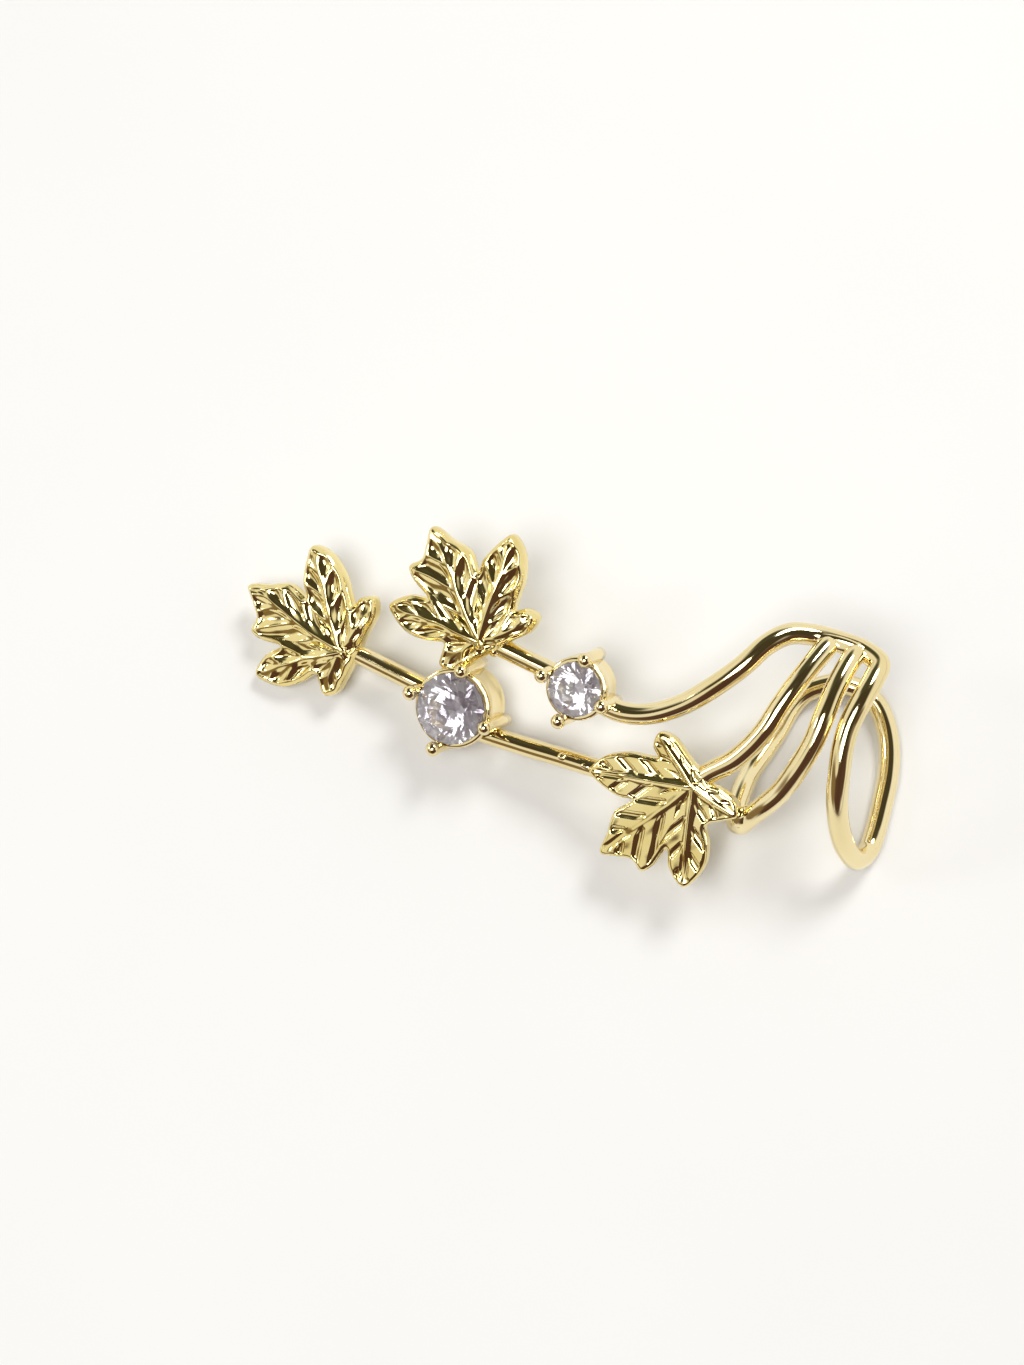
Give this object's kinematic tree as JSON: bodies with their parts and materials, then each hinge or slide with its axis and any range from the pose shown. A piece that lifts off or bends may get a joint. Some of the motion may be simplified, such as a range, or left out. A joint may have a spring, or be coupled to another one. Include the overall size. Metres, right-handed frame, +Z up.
{
  "type": "ear cuff",
  "caption": "Climbing ear cuff of gold wire with cast maple leaves and round prong-set stones; the wires and a back loop grip the rim of the ear.",
  "frame": {"origin": "middle of the bottom of the box round the cuff as it lies on a surface", "axes": "+Z up, +X from the leaves to the wire cuff, +Y to the side where the rim of the ear goes in"},
  "size_m": [0.0366, 0.0194, 0.0091],
  "materials": {
    "gold": "polished yellow gold plate",
    "crystal": "clear cut stone with a pale lavender tint"
  },
  "bodies": {
    "root": {"cuff_frame": "gold", "large_stone": "crystal", "small_stone": "crystal"}
  },
  "joints": []
}
